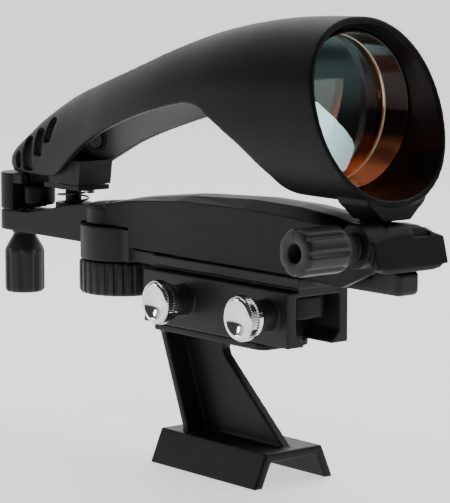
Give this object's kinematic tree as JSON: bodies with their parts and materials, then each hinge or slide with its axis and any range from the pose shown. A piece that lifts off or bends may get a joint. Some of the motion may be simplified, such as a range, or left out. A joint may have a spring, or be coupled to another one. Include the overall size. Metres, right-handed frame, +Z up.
{
  "type": "reflex finder scope",
  "caption": "Reflex finder scope: lens hood on two curved rails over an adjustable arm, clamped on a dovetail bracket with thumbscrews.",
  "frame": {"origin": "middle of the dovetail foot's base, in the plane of its two legs' bottom faces", "axes": "+X along the optical axis toward the sky, +Z up, +Y away from the thumbscrews"},
  "size_m": [0.1812, 0.0555, 0.1268],
  "materials": {
    "black_casting": "satin black paint on cast alloy",
    "charcoal_plastic": "fine satin moulding",
    "chrome": "polished plate over knurling",
    "plain_steel": "plain",
    "brass": "turned",
    "board": "solder-masked laminate",
    "coated_glass": "polished, partly reflecting coat",
    "red_plastic": "clear red",
    "white_plastic": "plain"
  },
  "bodies": {
    "bracket": {"mounting_bracket": "black_casting"},
    "clamp": {"clamp_body": "charcoal_plastic", "azimuth_nut": "brass", "pivot_nut": "plain_steel", "circuit_board": "board", "battery_contact": "brass", "coin_cell": "plain_steel"},
    "rear_thumbscrew": {"thumbscrew_rear": "chrome"},
    "front_thumbscrew": {"thumbscrew_front": "chrome"},
    "dial": {"brightness_dial": "charcoal_plastic"},
    "cap": {"battery_cap": "charcoal_plastic"},
    "arm": {"upper_arm": "charcoal_plastic", "pivot_bolt": "plain_steel", "pivot_washer": "white_plastic", "hinge_pin": "plain_steel", "altitude_spring": "plain_steel"},
    "azimuth_adjuster": {"azimuth_knob": "charcoal_plastic", "azimuth_screw": "plain_steel", "azimuth_clip": "plain_steel"},
    "altitude_adjuster": {"altitude_knob": "charcoal_plastic", "altitude_screw": "plain_steel", "altitude_clip": "plain_steel"},
    "yoke": {"altitude_yoke": "charcoal_plastic"},
    "head": {"head_shell": "charcoal_plastic", "lens": "coated_glass", "lens_ring": "black_casting", "led_housing": "charcoal_plastic", "led_board": "board", "led_cover": "charcoal_plastic", "cover_screw_1": "plain_steel", "cover_screw_2": "plain_steel", "led_holder": "black_casting", "led": "red_plastic", "reticle_disc": "plain_steel", "spring_post": "charcoal_plastic"}
  },
  "joints": [
    {"name": "clamp_slide", "type": "slide", "parent": "bracket", "child": "clamp", "axis": [1, 0, 0], "range_m": [-0.012, 0.004]},
    {"name": "rear_thumbscrew_turn", "type": "hinge", "parent": "clamp", "child": "rear_thumbscrew", "pos_m": [-0.0113, -0.0158, 0.0476], "axis": [0, -1, 0], "range_deg": [0, 720]},
    {"name": "front_thumbscrew_turn", "type": "hinge", "parent": "clamp", "child": "front_thumbscrew", "pos_m": [0.0244, -0.0158, 0.0476], "axis": [0, -1, 0], "range_deg": [0, 720]},
    {"name": "dial_turn", "type": "hinge", "parent": "clamp", "child": "dial", "pos_m": [-0.0542, 0, 0.044], "axis": [0, 0, 1], "range_deg": [0, 270]},
    {"name": "cap_turn", "type": "hinge", "parent": "clamp", "child": "cap", "pos_m": [-0.0542, 0, 0.0442], "axis": [0, 0, 1], "range_deg": [0, 90]},
    {"name": "arm_swing", "type": "hinge", "parent": "clamp", "child": "arm", "pos_m": [-0.0542, 0, 0.0644], "axis": [0, 0, 1], "range_deg": [-1.04, 1.04]},
    {"name": "azimuth_turn", "type": "hinge", "parent": "arm", "child": "azimuth_adjuster", "pos_m": [0.0606, -0.0136, 0.0696], "axis": [0, 1, 0], "range_deg": [-1085, 1085]},
    {"name": "altitude_turn", "type": "hinge", "parent": "arm", "child": "altitude_adjuster", "pos_m": [-0.1056, 0, 0.0578], "axis": [0, 0, 1], "range_deg": [-1800, 0]},
    {"name": "yoke_slide", "type": "slide", "parent": "arm", "child": "yoke", "axis": [0, 0, 1], "range_m": [0, 0.00355]},
    {"name": "head_tilt", "type": "hinge", "parent": "arm", "child": "head", "pos_m": [0.054, 0, 0.0702], "axis": [0, 1, 0], "range_deg": [0, 1.31], "deforming": ["altitude_spring"]}
  ],
  "couplings": [
    {"joint": "azimuth_turn", "follows": "arm_swing", "ratio": 1030.4},
    {"joint": "altitude_turn", "follows": "head_tilt", "ratio": -1373.3},
    {"joint": "yoke_slide", "follows": "head_tilt", "m_per_rad": 0.153}
  ]
}
